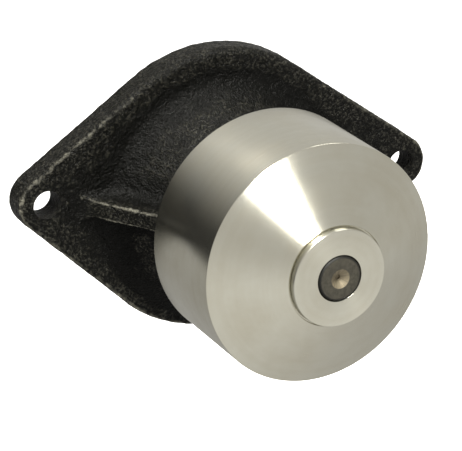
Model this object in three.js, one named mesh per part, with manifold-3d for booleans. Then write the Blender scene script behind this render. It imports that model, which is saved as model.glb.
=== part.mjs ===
// Engine water pump: a cast iron body with a two-ear flange, a smooth cup-shaped belt pulley on an
// integral shaft bearing, a spring-loaded face seal and a cast impeller.
//
// Units are millimetres. The block face of the flange lies in the plane Y = 0, the pump axis is the
// Y axis, the pulley nose points along -Y, the bolt ears lie along X and +Z is up.
// A "station" is a distance along the axis from the block face towards the nose, so Y = -station.

import * as THREE from "three";
import { ConvexGeometry } from "three/addons/geometries/ConvexGeometry.js";
import { mergeVertices } from "three/addons/utils/BufferGeometryUtils.js";
import Module from "manifold-3d";

const wasm = await Module();
wasm.setup();

// ---------------------------------------------------------------- driving dimensions

const BORE_GAP = 0.04; // radial gap left where one piece is pressed on or into another
const PULLEY_SIDES = 60; // sides of round pieces, by their size
const BODY_SIDES = 48;
const IMPELLER_SIDES = 40;
const RING_SIDES = 36;
const HOLE_SIDES = 32;
const SMALL_SIDES = 28;
const DRAIN_SIDES = 20;
const BALL_SIDES = 12;

// Flange of the body
const FLANGE_THICKNESS = 10;
const FLANGE_CENTRE = { x: 0.4, z: 0.8 }; // the round centre of the flange stands a little off the axis
const FLANGE_RADIUS = 53.2;
const EAR_RADIUS = 10.5;
const LEFT_BOLT = { x: -67.3, z: 2.3 };
const RIGHT_BOLT = { x: 77.5, z: 2.3 };
const BOLT_HOLE_RADIUS = 5.25; // clearance for an M10 bolt
const FLANGE_EDGE_ROUND = 1.1;

// Bearing housing of the body
const NECK_RADIUS = 22;
const NECK_END = 80;
const DOME_FOOT = { x: 0.9, z: -2.4 }; // how far the foot of the dome stands off the axis
const DOME_TOP = 39; // station at which the dome is back on the axis
const RIB_HALF_WIDTH = 3.0;
const RIB_REACH = 53; // distance from the axis at which a rib runs out into the flange
const RIB_SLOPE = 1.38; // rise towards the nose per millimetre towards the axis
const RIB_ROOT = 20; // distance from the axis at which a rib ends inside the neck
const RIB_SPREAD = { reach: 1.6, root: 4.6 }; // how much wider the rib's foot is at each end

// Register that enters the block, with its ring seal
const REGISTER_RADIUS = 46;
const REGISTER_DEPTH = 6;
const CHAMBER_RADIUS = 39;
const RING_GROOVE = { radius: 43.2, from: -4.6, to: -1.4 };
const RING_PLAY = 0.1;
const RING_PROUD = 0.6; // the ring seal stands this far out of its groove
const RELIEF = { width: 1.6, depth: 0.8 }; // turned into the block face, round the register

// Shaft and integral bearing
const SHAFT_RADIUS = 7.96;
const SHAFT_BACK = -12.8;
const SHAFT_NOSE = 100.4;
const BEARING_RADIUS = 15;
const BEARING_BACK = 36.2;
const BEARING_FRONT = 79;
const BEARING_FIT = 0.06; // radial gap between the bearing and its bore
const RING_BORE = 12.6;
const CENTRE_DRILL = { mouth: 3.5, depth: 2.0, pilot: 0.9, pilotDepth: 2.8 };
const SHAFT_CHAMFER = 1;
const RING_CHAMFER = 0.6;
const BALL = { radius: 3.175, orbit: 10.4, groove: 3.3, station: 46, count: 8 };
const ROLLER = { radius: 2.4, orbit: 10.5, length: 11, station: 65, count: 10, race: 13.05, play: 0.3 };
const CAGE = { inner: 9.3, outer: 11.6, play: 0.15, ballWall: 1.4, rollerWall: 2.6 };
const LIP_RECESS = 2.6; // from a bearing end to the inner face of its lip seal
const LIP_GAP = 0.25; // between a seal lip and the shaft

// Weep cavity between seal and bearing
const WEEP = { radius: 13, from: 30.9, to: 36, hole: 3.2, station: 33.5, length: 24 };

// Face seal
const SEAL_BORE = 18.25;
const SEAL_SEAT = 20;
const SPRING = { coil: 14.6, wire: 0.8, from: 20.4, to: 27.8, turns: 3.5, stepsPerTurn: 16 };

// Impeller
const IMPELLER_RADIUS = 34.5;
const IMPELLER_BACK = -12;
const IMPELLER_RECESS = { radius: 14.85, from: 6.1 }; // holds the rotating half of the face seal
const VANE = { count: 6, thickness: 3.2, root: 12, sweep: 0.95, curve: 0.8, steps: 5 };

// Pulley
const BELT_RADIUS = 43;
const RIM_BACK = 45.9;
const RIM_FRONT = 85.9;
const CUP_RADIUS = 38;
const HUB_FACE = 99.9;
const HUB_FACE_RADIUS = 17.3;
const HUB_STEP_RADIUS = 17.6;
const CONE_TOP = { radius: 18.4, station: 97.4 };
const WEB_THICKNESS = 6.7;
const HUB_BACK = 82.6;
const RIM_BREAK = 0.4; // broken edges of the rim

// ---------------------------------------------------------------- helpers

// A manifold solid from a closed three.js geometry.
function solidOf(geometry) {
  const loose = geometry.index ? geometry.toNonIndexed() : geometry;
  const bare = new THREE.BufferGeometry();
  bare.setAttribute("position", loose.getAttribute("position"));
  const merged = mergeVertices(bare, 1e-4);
  const mesh = new wasm.Mesh({
    numProp: 3,
    vertProperties: merged.attributes.position.array,
    triVerts: new Uint32Array(merged.index.array),
  });
  return new wasm.Manifold(mesh);
}

// A three.js geometry from a manifold solid.
function geometryOf(solid) {
  const mesh = solid.getMesh();
  const places = new Float32Array(mesh.numVert * 3);
  for (let i = 0; i < mesh.numVert; i++) {
    places.set(mesh.vertProperties.subarray(i * mesh.numProp, i * mesh.numProp + 3), i * 3);
  }
  const geometry = new THREE.BufferGeometry();
  geometry.setAttribute("position", new THREE.BufferAttribute(places, 3));
  geometry.setIndex(new THREE.BufferAttribute(new Uint32Array(mesh.triVerts), 1));
  geometry.computeVertexNormals();
  return geometry;
}

// Turned geometry about the pump axis from a closed outline of [radius, station] pairs, in either order.
function turned(outline, sides = SMALL_SIDES) {
  let area = 0;
  outline.forEach(([r, s], i) => {
    const [nextR, nextS] = outline[(i + 1) % outline.length];
    area += r * nextS - nextR * s;
  });
  const ordered = area > 0 ? [...outline].reverse() : outline;
  const start = ordered.findIndex(([r], i) => r === 0 && ordered.at(i - 1)[0] === 0);
  const points = start < 0 ? ordered : [...ordered.slice(start), ...ordered.slice(0, start)];
  const profile = points.map(([r, s]) => new THREE.Vector2(r, -s));
  if (start < 0) profile.push(profile[0].clone());
  return new THREE.LatheGeometry(profile, sides);
}

// A plain round bar along the axis between two stations, as a cutter for holes.
function bar(radius, from, to, sides = SMALL_SIDES) {
  return turned([[0, from], [radius, from], [radius, to], [0, to]], sides);
}

// Points of an arc in the [radius, station] plane. Angles are in degrees from +radius towards +station.
function arc(radius, station, size, fromDeg, toDeg, steps) {
  const points = [];
  for (let i = 0; i <= steps; i++) {
    const angle = THREE.MathUtils.degToRad(fromDeg + ((toDeg - fromDeg) * i) / steps);
    points.push([radius + size * Math.cos(angle), station + size * Math.sin(angle)]);
  }
  return points;
}

// A shape drawn in X and Z, extruded from one station to another.
function extruded(shape, from, to, options = {}) {
  const settings = { depth: to - from, bevelEnabled: false, curveSegments: 12, ...options };
  return new THREE.ExtrudeGeometry(shape, settings).rotateX(Math.PI / 2).translate(0, -from, 0);
}

// ---------------------------------------------------------------- materials

const materials = {
  castIron: new THREE.MeshStandardMaterial({ color: 0x24241f, roughness: 0.62, metalness: 0.3 }),
  turnedSteel: new THREE.MeshStandardMaterial({ color: 0xb4b1a8, roughness: 0.28, metalness: 1 }),
  shaftSteel: new THREE.MeshStandardMaterial({ color: 0x6f6b62, roughness: 0.4, metalness: 1 }),
  bearingSteel: new THREE.MeshStandardMaterial({ color: 0xc4c6c8, roughness: 0.15, metalness: 1 }),
  cagePlastic: new THREE.MeshStandardMaterial({ color: 0xb98d4a, roughness: 0.5, metalness: 0 }),
  rubber: new THREE.MeshStandardMaterial({ color: 0x141414, roughness: 0.8, metalness: 0 }),
  brass: new THREE.MeshStandardMaterial({ color: 0xb08d4f, roughness: 0.3, metalness: 1 }),
  springSteel: new THREE.MeshStandardMaterial({ color: 0x9c9fa3, roughness: 0.3, metalness: 1 }),
  carbon: new THREE.MeshStandardMaterial({ color: 0x2a2b2e, roughness: 0.35, metalness: 0.2 }),
  ceramic: new THREE.MeshStandardMaterial({ color: 0xe8e4d8, roughness: 0.25, metalness: 0 }),
  impellerIron: new THREE.MeshStandardMaterial({ color: 0x55544f, roughness: 0.6, metalness: 0.8 }),
};

const pump = new THREE.Group();

function add(name, geometry, material) {
  const mesh = new THREE.Mesh(geometry, material);
  mesh.name = name;
  pump.add(mesh);
  return mesh;
}

// ---------------------------------------------------------------- pump body

// Where the straight edge between the flange's round centre and an ear touches both circles.
function tangentTo({ x, z }) {
  const dx = x - FLANGE_CENTRE.x;
  const dz = z - FLANGE_CENTRE.z;
  const spread = Math.acos((FLANGE_RADIUS - EAR_RADIUS) / Math.hypot(dx, dz));
  return { x, z, angle: Math.atan2(dz, dx), spread };
}

// Outline of the flange: a round centre joined to two ears by straight tangents.
function flangeOutline() {
  const { x, z } = FLANGE_CENTRE;
  const left = tangentTo(LEFT_BOLT);
  const right = tangentTo(RIGHT_BOLT);
  const shape = new THREE.Shape();
  shape.absarc(x, z, FLANGE_RADIUS, right.angle + right.spread, left.angle - left.spread, false);
  shape.absarc(left.x, left.z, EAR_RADIUS, left.angle - left.spread, left.angle + left.spread, false);
  shape.absarc(x, z, FLANGE_RADIUS, left.angle + left.spread, right.angle - right.spread, false);
  shape.absarc(right.x, right.z, EAR_RADIUS, right.angle - right.spread, right.angle + right.spread, false);
  shape.closePath();
  return shape;
}

// The flange plate, with its front edge rounded and its block face cut square.
function flangePlate() {
  const plate = extruded(flangeOutline(), -2 * FLANGE_EDGE_ROUND, FLANGE_THICKNESS - FLANGE_EDGE_ROUND, {
    bevelEnabled: true,
    bevelSize: FLANGE_EDGE_ROUND,
    bevelOffset: -FLANGE_EDGE_ROUND,
    bevelThickness: FLANGE_EDGE_ROUND,
    bevelSegments: 2,
    curveSegments: 14,
  });
  const behind = turned([[0, -20], [2 * RIGHT_BOLT.x, -20], [2 * RIGHT_BOLT.x, 0], [0, 0]], 8);
  return solidOf(plate).subtract(solidOf(behind));
}

// The dome over the impeller chamber, which narrows into the bearing neck. It leans towards its foot.
function dome() {
  const foot = FLANGE_THICKNESS;
  const outline = [
    [0, foot - 5],
    [42.8, foot - 5],
    [42.8, foot],
    [40.4, foot + 2],
    [38, foot + 5.4],
    [35, foot + 9],
    [29, foot + 16.5],
    [25.2, foot + 23.5],
    [23, DOME_TOP],
    [0, DOME_TOP],
  ];
  const lean = { x: DOME_FOOT.x / (DOME_TOP - foot), z: DOME_FOOT.z / (DOME_TOP - foot) };
  const shear = new THREE.Matrix4().makeShear(0, 0, lean.x, lean.z, 0, 0);
  const leaning = turned(outline, BODY_SIDES).applyMatrix4(shear);
  return solidOf(leaning.translate(lean.x * DOME_TOP, 0, lean.z * DOME_TOP));
}

function neck() {
  const outline = [
    [0, 20],
    [NECK_RADIUS, 20],
    [NECK_RADIUS, NECK_END - 1],
    [NECK_RADIUS - 1, NECK_END],
    [0, NECK_END],
  ];
  return solidOf(turned(outline, BODY_SIDES));
}

// A drafted rib from an ear up to the neck. Side is -1 for the left ear and 1 for the right one.
function rib(side) {
  const crest = FLANGE_THICKNESS + (RIB_REACH - RIB_ROOT) * RIB_SLOPE;
  const foot = FLANGE_THICKNESS - 3;
  const corners = [];
  for (const flank of [-1, 1]) {
    const z = flank * RIB_HALF_WIDTH;
    corners.push(new THREE.Vector3(side * RIB_REACH, -(FLANGE_THICKNESS + 0.3), z));
    corners.push(new THREE.Vector3(side * RIB_ROOT, -crest, z));
    corners.push(new THREE.Vector3(side * (RIB_REACH + 1), -foot, z + flank * RIB_SPREAD.reach));
    corners.push(new THREE.Vector3(side * RIB_ROOT, -foot, z + flank * RIB_SPREAD.root));
  }
  return solidOf(new ConvexGeometry(corners));
}

// The ring that enters the block, with the groove for its seal.
function register() {
  const outline = [
    [CHAMBER_RADIUS - 1, 1],
    [REGISTER_RADIUS, 1],
    [REGISTER_RADIUS, RING_GROOVE.to],
    [RING_GROOVE.radius, RING_GROOVE.to],
    [RING_GROOVE.radius, RING_GROOVE.from],
    [REGISTER_RADIUS, RING_GROOVE.from],
    [REGISTER_RADIUS, 0.8 - REGISTER_DEPTH],
    [REGISTER_RADIUS - 0.8, -REGISTER_DEPTH],
    [CHAMBER_RADIUS - 1, -REGISTER_DEPTH],
  ];
  return solidOf(turned(outline, BODY_SIDES));
}

// Everything that is bored out along the axis: impeller chamber, seal seat, weep cavity, bearing bore.
function bores() {
  const outline = [
    [0, -REGISTER_DEPTH - 2],
    [CHAMBER_RADIUS, -REGISTER_DEPTH - 2],
    [CHAMBER_RADIUS, 3],
    [CHAMBER_RADIUS - 1.4, 7],
    [CHAMBER_RADIUS - 5, 10.8],
    [26, 15.6],
    [22, 16.6],
    [22, SEAL_SEAT],
    [SEAL_BORE, SEAL_SEAT],
    [SEAL_BORE, WEEP.from],
    [WEEP.radius, WEEP.from],
    [WEEP.radius, WEEP.to],
    [BEARING_RADIUS + BEARING_FIT, WEEP.to],
    [BEARING_RADIUS + BEARING_FIT, NECK_END - 0.8],
    [BEARING_RADIUS + 0.8, NECK_END + 0.1],
    [BEARING_RADIUS + 0.8, NECK_END + 2],
    [0, NECK_END + 2],
  ];
  return solidOf(turned(outline, BODY_SIDES));
}

function boltHole({ x, z }) {
  return solidOf(bar(BOLT_HOLE_RADIUS, -1, FLANGE_THICKNESS + 1, HOLE_SIDES).translate(x, 0, z));
}

// The drain that shows a leaking seal: a hole straight down out of the weep cavity.
function weepHole() {
  const drain = new THREE.CylinderGeometry(WEEP.hole, WEEP.hole, WEEP.length, DRAIN_SIDES);
  drain.rotateX(Math.PI / 2).translate(0, -WEEP.station, -WEEP.radius + 3 - WEEP.length / 2);
  return solidOf(drain);
}

// A shallow relief in the block face round the register, so that the ring seal clears the face.
function faceRelief() {
  const inner = REGISTER_RADIUS;
  const outer = REGISTER_RADIUS + RELIEF.width;
  const outline = [[inner, -1], [outer, -1], [outer, RELIEF.depth], [inner, RELIEF.depth]];
  return solidOf(turned(outline, BODY_SIDES));
}

function pumpBody() {
  const casting = flangePlate().add(dome()).add(neck()).add(rib(-1)).add(rib(1)).add(register());
  return casting
    .subtract(bores())
    .subtract(boltHole(LEFT_BOLT))
    .subtract(boltHole(RIGHT_BOLT))
    .subtract(weepHole())
    .subtract(faceRelief());
}

add("pump_body", geometryOf(pumpBody()), materials.castIron);

// Rectangular ring in the register's groove, standing a little proud of the register.
function registerRingSeal() {
  const inner = RING_GROOVE.radius + RING_PLAY;
  const outer = REGISTER_RADIUS + RING_PROUD;
  const from = RING_GROOVE.from + RING_PLAY;
  const to = RING_GROOVE.to - RING_PLAY;
  return turned([[inner, from], [outer, from], [outer, to], [inner, to]], BODY_SIDES);
}

add("register_ring_seal", registerRingSeal(), materials.rubber);

// ---------------------------------------------------------------- shaft and bearing

// Half width of a ball groove where it breaks out of a round surface of the given radius.
function grooveHalf(radius) {
  return Math.sqrt(BALL.groove ** 2 - (BALL.orbit - radius) ** 2);
}

// Points of the ball groove on a round surface, from low station to high station.
function grooveArc(radius) {
  const half = THREE.MathUtils.radToDeg(Math.asin(grooveHalf(radius) / BALL.groove));
  return radius < BALL.orbit
    ? arc(BALL.orbit, BALL.station, BALL.groove, 180 + half, 180 - half, 4)
    : arc(BALL.orbit, BALL.station, BALL.groove, -half, half, 4);
}

// The shaft, with a centre drilling in each end and the inner ball groove.
function shaft() {
  const { mouth, depth, pilot, pilotDepth } = CENTRE_DRILL;
  const outline = [
    [0, SHAFT_BACK + pilotDepth],
    [pilot, SHAFT_BACK + pilotDepth],
    [pilot, SHAFT_BACK + depth],
    [mouth, SHAFT_BACK],
    [SHAFT_RADIUS - SHAFT_CHAMFER, SHAFT_BACK],
    [SHAFT_RADIUS, SHAFT_BACK + SHAFT_CHAMFER],
    ...grooveArc(SHAFT_RADIUS),
    [SHAFT_RADIUS, SHAFT_NOSE - SHAFT_CHAMFER],
    [SHAFT_RADIUS - SHAFT_CHAMFER, SHAFT_NOSE],
    [mouth, SHAFT_NOSE],
    [pilot, SHAFT_NOSE - depth],
    [pilot, SHAFT_NOSE - pilotDepth],
    [0, SHAFT_NOSE - pilotDepth],
  ];
  return turned(outline);
}

add("shaft", shaft(), materials.shaftSteel);

// The outer ring carries both raceways and a recess for a lip seal at each end.
function bearingRing() {
  const raceHalf = ROLLER.length / 2 + ROLLER.play;
  const outline = [
    [RING_BORE, BEARING_BACK],
    [BEARING_RADIUS - RING_CHAMFER, BEARING_BACK],
    [BEARING_RADIUS, BEARING_BACK + RING_CHAMFER],
    [BEARING_RADIUS, BEARING_FRONT - RING_CHAMFER],
    [BEARING_RADIUS - RING_CHAMFER, BEARING_FRONT],
    [RING_BORE, BEARING_FRONT],
    [RING_BORE, ROLLER.station + raceHalf],
    [ROLLER.race, ROLLER.station + raceHalf],
    [ROLLER.race, ROLLER.station - raceHalf],
    [RING_BORE, ROLLER.station - raceHalf],
    ...grooveArc(RING_BORE).reverse(),
  ];
  return turned(outline, RING_SIDES);
}

add("bearing_outer_ring", bearingRing(), materials.bearingSteel);

// Position on a bearing's pitch circle.
function orbitPoint(row, index) {
  const angle = (2 * Math.PI * index) / row.count;
  return new THREE.Vector3(row.orbit * Math.cos(angle), -row.station, row.orbit * Math.sin(angle));
}

// The plain ring that a cage's pockets are cut from.
function cageBlank(station, half) {
  const from = station - half;
  const to = station + half;
  return solidOf(turned([[CAGE.inner, from], [CAGE.outer, from], [CAGE.outer, to], [CAGE.inner, to]]));
}

function ballCage() {
  let cage = cageBlank(BALL.station, BALL.radius + CAGE.ballWall);
  for (let i = 0; i < BALL.count; i++) {
    const pocket = new THREE.SphereGeometry(BALL.radius + CAGE.play, BALL_SIDES, 7);
    const place = orbitPoint(BALL, i);
    cage = cage.subtract(solidOf(pocket.translate(place.x, place.y, place.z)));
  }
  return cage;
}

add("ball_cage", geometryOf(ballCage()), materials.cagePlastic);
for (let i = 0; i < BALL.count; i++) {
  const geometry = new THREE.SphereGeometry(BALL.radius, BALL_SIDES, 8);
  const ball = add(`bearing_ball_${i + 1}`, geometry, materials.bearingSteel);
  ball.position.copy(orbitPoint(BALL, i));
}

function rollerCage() {
  const width = 2 * (ROLLER.radius + CAGE.play);
  const length = ROLLER.length + 2 * CAGE.play;
  let cage = cageBlank(ROLLER.station, ROLLER.length / 2 + CAGE.rollerWall);
  for (let i = 0; i < ROLLER.count; i++) {
    const place = orbitPoint(ROLLER, i);
    const pocket = new THREE.BoxGeometry(2 * width, length, width);
    pocket.rotateY(-Math.atan2(place.z, place.x)).translate(place.x, place.y, place.z);
    cage = cage.subtract(solidOf(pocket));
  }
  return cage;
}

add("roller_cage", geometryOf(rollerCage()), materials.cagePlastic);
for (let i = 0; i < ROLLER.count; i++) {
  const geometry = new THREE.CylinderGeometry(ROLLER.radius, ROLLER.radius, ROLLER.length, BALL_SIDES);
  const roller = add(`bearing_roller_${i + 1}`, geometry, materials.bearingSteel);
  roller.position.copy(orbitPoint(ROLLER, i));
}

// A lip seal of the bearing: a stiff disc with a lip that leans outwards along the shaft.
function lipSeal(station, outward) {
  const outer = RING_BORE - 0.08;
  const lip = SHAFT_RADIUS + LIP_GAP;
  const outline = [
    [outer, 0],
    [outer, 1.4],
    [9.6, 1.4],
    [lip + 0.3, 2.2],
    [lip, 2],
    [9.2, 0],
  ];
  return turned(outline.map(([r, s]) => [r, station + outward * s]));
}

add("bearing_front_lip_seal", lipSeal(BEARING_FRONT - LIP_RECESS, 1), materials.rubber);
add("bearing_back_lip_seal", lipSeal(BEARING_BACK + LIP_RECESS, -1), materials.rubber);

// Pressed disc that throws off coolant before it reaches the bearing.
function slinger() {
  const bore = SHAFT_RADIUS + BORE_GAP;
  return turned([
    [bore, 31.8],
    [bore + 0.9, 31.8],
    [bore + 0.9, 34],
    [11.9, 32.8],
    [11.9, 33.6],
    [bore, 35.2],
  ]);
}

add("slinger", slinger(), materials.springSteel);

// ---------------------------------------------------------------- face seal

// Drawn cup, pressed into the seal bore, with a collar that lies just off the bore's seat.
function sealCase() {
  const bore = SEAL_BORE - BEARING_FIT;
  const outline = [
    [20.8, SEAL_SEAT - 0.9],
    [20.8, SEAL_SEAT - 0.1],
    [bore, SEAL_SEAT - 0.1],
    [bore, 30.6],
    [10.7, 30.6],
    [10.7, 29.8],
    [17.4, 29.8],
    [17.4, SEAL_SEAT - 0.9],
  ];
  return turned(outline, RING_SIDES);
}

add("seal_case", sealCase(), materials.brass);

// One turned rubber piece: a rim on the case, a thin folding tube and a socket for the carbon ring.
function sealBellows() {
  return turned([
    [9, 17.9],
    [9, 22],
    [9.9, 23.4],
    [9, 24.8],
    [9, 29.7],
    [17.2, 29.7],
    [17.2, 28.9],
    [10.2, 28.9],
    [10.2, 25.2],
    [11.1, 23.4],
    [10.2, 21.6],
    [10.2, 18.8],
    [13.4, 18.8],
    [13.4, 14.5],
    [12.6, 14.5],
    [12.6, 17.9],
  ]);
}

add("seal_bellows", sealBellows(), materials.rubber);

// Flanged sleeve round the bellows' socket, which the spring pushes on.
function sealSpringRetainer() {
  return turned([
    [13.5, 14.3],
    [14.1, 14.3],
    [14.1, 18.6],
    [16.4, 18.6],
    [16.4, 19.3],
    [13.5, 19.3],
  ]);
}

add("seal_spring_retainer", sealSpringRetainer(), materials.springSteel);

// The coil spring, a round wire along a helix between the retainer and the case.
class Helix extends THREE.Curve {
  getPoint(t, target = new THREE.Vector3()) {
    const angle = 2 * Math.PI * SPRING.turns * t;
    const station = SPRING.from + (SPRING.to - SPRING.from) * t;
    return target.set(SPRING.coil * Math.cos(angle), -station, SPRING.coil * Math.sin(angle));
  }
}

function sealSpring() {
  const wire = new THREE.Shape();
  wire.absarc(0, 0, SPRING.wire, 0, 2 * Math.PI, false);
  return new THREE.ExtrudeGeometry(wire, {
    extrudePath: new Helix(),
    steps: Math.round(SPRING.turns * SPRING.stepsPerTurn),
    curveSegments: 3,
    bevelEnabled: false,
  });
}

add("seal_spring", sealSpring(), materials.springSteel);

// The carbon ring runs on the ceramic ring with its narrow nose.
function sealCarbonRing() {
  return turned([
    [9, 17.8],
    [12.4, 17.8],
    [12.4, 13.4],
    [11.7, 13.1],
    [11.7, 12.2],
    [9.8, 12.2],
    [9.8, 13.1],
    [9, 13.4],
  ]);
}

add("seal_carbon_ring", sealCarbonRing(), materials.carbon);

function sealMatingRing() {
  return turned([
    [9.5, 7.5],
    [13.6, 7.5],
    [13.6, 12],
    [9.5, 12],
  ]);
}

add("seal_mating_ring", sealMatingRing(), materials.ceramic);

// Rubber cup that grips the ceramic ring and turns it with the impeller.
function sealMatingBoot() {
  return turned([
    [8.3, 6.3],
    [14.7, 6.3],
    [14.7, 11.2],
    [13.75, 11.2],
    [13.75, 7.4],
    [9.3, 7.4],
    [9.3, 10.6],
    [8.3, 10.6],
  ]);
}

add("seal_mating_boot", sealMatingBoot(), materials.rubber);

// ---------------------------------------------------------------- impeller

// Centre line of a vane at a share of its length: it leans back against the running direction.
function vanePoint(share, offset) {
  const radius = VANE.root + (IMPELLER_RADIUS - VANE.root) * share;
  const angle = VANE.sweep * share ** VANE.curve;
  const ahead = offset / radius;
  return new THREE.Vector2(radius * Math.cos(angle + ahead), radius * Math.sin(angle + ahead));
}

function vane(index) {
  const half = VANE.thickness / 2;
  const points = [];
  for (let i = 0; i <= VANE.steps; i++) points.push(vanePoint(i / VANE.steps, -half));
  for (let i = VANE.steps; i >= 0; i--) points.push(vanePoint(i / VANE.steps, half));
  const blade = extruded(new THREE.Shape(points), IMPELLER_BACK, IMPELLER_RECESS.from);
  return solidOf(blade.rotateY((-2 * Math.PI * index) / VANE.count));
}

// The space the vanes may fill: their free edges fall away towards the rim.
function vaneEnvelope() {
  const outline = [
    [0, IMPELLER_BACK + 1],
    [20, IMPELLER_BACK + 1],
    [IMPELLER_RADIUS - 0.2, IMPELLER_BACK + 4],
    [IMPELLER_RADIUS - 0.2, 3],
    [20, 7],
    [0, 7],
  ];
  return solidOf(turned(outline, PULLEY_SIDES));
}

function impeller() {
  const boreRadius = SHAFT_RADIUS + BORE_GAP;
  const outline = [
    [boreRadius, IMPELLER_BACK],
    [13, IMPELLER_BACK],
    [14, 1],
    [17, 4.6],
    [IMPELLER_RADIUS, 1.6],
    [IMPELLER_RADIUS, 4.4],
    [19.5, 10.9],
    [17.5, 11.4],
    [IMPELLER_RECESS.radius, 11.4],
    [IMPELLER_RECESS.radius, IMPELLER_RECESS.from],
    [boreRadius, IMPELLER_RECESS.from],
  ];
  const bore = solidOf(bar(boreRadius, IMPELLER_BACK - 2, 8, IMPELLER_SIDES));
  const recess = solidOf(bar(IMPELLER_RECESS.radius, IMPELLER_RECESS.from, 20, IMPELLER_SIDES));
  const envelope = vaneEnvelope();
  let wheel = solidOf(turned(outline, IMPELLER_SIDES));
  for (let i = 0; i < VANE.count; i++) wheel = wheel.add(vane(i).intersect(envelope).subtract(bore));
  return wheel.subtract(recess);
}

add("impeller", geometryOf(impeller()), materials.impellerIron);

// ---------------------------------------------------------------- pulley

// Station of the cone's outer face at a radius.
function coneStation(radius) {
  const share = (BELT_RADIUS - radius) / (BELT_RADIUS - CONE_TOP.radius);
  return RIM_FRONT + share * (CONE_TOP.station - RIM_FRONT);
}

function pulley() {
  const bore = SHAFT_RADIUS + BORE_GAP;
  const outline = [
    [CUP_RADIUS + RIM_BREAK, RIM_BACK],
    [BELT_RADIUS - RIM_BREAK, RIM_BACK],
    [BELT_RADIUS, RIM_BACK + RIM_BREAK],
    [BELT_RADIUS, RIM_FRONT - RIM_BREAK],
    [BELT_RADIUS - RIM_BREAK, coneStation(BELT_RADIUS - RIM_BREAK)],
    [CONE_TOP.radius, CONE_TOP.station],
    [HUB_STEP_RADIUS, CONE_TOP.station + 0.3],
    [HUB_STEP_RADIUS - 0.1, HUB_FACE - 0.5],
    [HUB_FACE_RADIUS, HUB_FACE],
    [bore + 0.8, HUB_FACE],
    [bore, HUB_FACE - 0.8],
    [bore, HUB_BACK],
    [13.5, HUB_BACK],
    [14.5, HUB_BACK + 1],
    [15.2, coneStation(15.2) - WEB_THICKNESS],
    [CUP_RADIUS - 3, coneStation(CUP_RADIUS - 3) - WEB_THICKNESS],
    ...arc(CUP_RADIUS - 2.6, 79.8, 2.6, 60, 0, 2),
    [CUP_RADIUS, RIM_BACK + RIM_BREAK],
  ];
  return turned(outline, PULLEY_SIDES);
}

add("pulley", pulley(), materials.turnedSteel);

export default pump;
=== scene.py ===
"""The looks of an engine water pump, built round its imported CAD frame.

Lengths in this script are millimetres until a mesh is made. A "station" is the distance along the shaft
axis from the flange's block face towards the pulley nose, so it is minus Y in the frame.
"""
import math

import bmesh
import bpy
import numpy as np
from mathutils import Matrix, Quaternion, Vector


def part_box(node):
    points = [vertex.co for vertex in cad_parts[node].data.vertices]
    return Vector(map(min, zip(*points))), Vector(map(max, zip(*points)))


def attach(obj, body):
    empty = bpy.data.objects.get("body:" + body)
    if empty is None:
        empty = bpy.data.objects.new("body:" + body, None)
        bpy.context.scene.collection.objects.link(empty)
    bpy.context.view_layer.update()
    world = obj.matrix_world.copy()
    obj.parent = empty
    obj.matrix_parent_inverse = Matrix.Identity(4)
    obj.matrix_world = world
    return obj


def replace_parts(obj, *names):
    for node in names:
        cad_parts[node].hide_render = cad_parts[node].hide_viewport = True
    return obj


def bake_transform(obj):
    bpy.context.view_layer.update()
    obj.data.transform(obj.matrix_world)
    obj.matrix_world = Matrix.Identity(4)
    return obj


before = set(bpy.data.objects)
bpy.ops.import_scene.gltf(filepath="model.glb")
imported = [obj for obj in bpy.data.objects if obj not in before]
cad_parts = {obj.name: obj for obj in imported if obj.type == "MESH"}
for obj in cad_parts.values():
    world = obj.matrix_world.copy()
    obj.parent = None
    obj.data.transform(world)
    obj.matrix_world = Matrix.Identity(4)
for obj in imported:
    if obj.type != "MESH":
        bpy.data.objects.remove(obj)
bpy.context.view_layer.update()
MM = 0.001

# ------------------------------ camera

CAMERA_PLACE = Vector((-0.3976, -0.7528, 0.3015))
CAMERA_AZIMUTH = 28.54  # degrees the view is turned from straight along the axis, towards -X
CAMERA_ELEVATION = 20.47
CAMERA_ROLL = 3.55
LENS = 191.7


def make_camera():
    data = bpy.data.cameras.new("camera")
    data.sensor_width = 36
    data.lens = LENS
    data.clip_start = 0.05
    data.clip_end = 50
    camera = bpy.data.objects.new("camera", data)
    camera.location = CAMERA_PLACE
    azimuth = math.radians(CAMERA_AZIMUTH)
    elevation = math.radians(CAMERA_ELEVATION)
    level = math.cos(elevation)
    look = Vector((math.sin(azimuth) * level, math.cos(azimuth) * level, -math.sin(elevation)))
    camera.rotation_mode = "QUATERNION"
    roll = Quaternion((0, 0, 1), math.radians(CAMERA_ROLL))
    camera.rotation_quaternion = look.to_track_quat("-Z", "Y") @ roll
    bpy.context.scene.collection.objects.link(camera)
    bpy.context.scene.camera = camera


make_camera()

# ------------------------------ dimensions taken from the frame


def box_mm(node):
    """Lowest and highest corner of a CAD node in millimetres."""
    low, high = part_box(node)
    return Vector(low) / MM, Vector(high) / MM


BODY_LOW, BODY_HIGH = box_mm("pump_body")
PULLEY_LOW, PULLEY_HIGH = box_mm("pulley")
SHAFT_LOW, SHAFT_HIGH = box_mm("shaft")
RING_LOW, RING_HIGH = box_mm("bearing_outer_ring")
IMPELLER_LOW, IMPELLER_HIGH = box_mm("impeller")

# ------------------------------ mesh helpers

ARC_STEP = 18  # degrees between the points of a rounded corner
ON_AXIS = 1e-6  # a point with a smaller radius lies on the axis
SHARP_ANGLE = 42  # degrees between two faces from which the edge between them stays sharp


def link_mesh(name, points, faces, materials):
    """A mesh object from points in millimetres."""
    mesh = bpy.data.meshes.new(name)
    mesh.from_pydata([(x * MM, y * MM, z * MM) for x, y, z in points], [], faces)
    return finish_mesh(name, mesh, materials)


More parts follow.
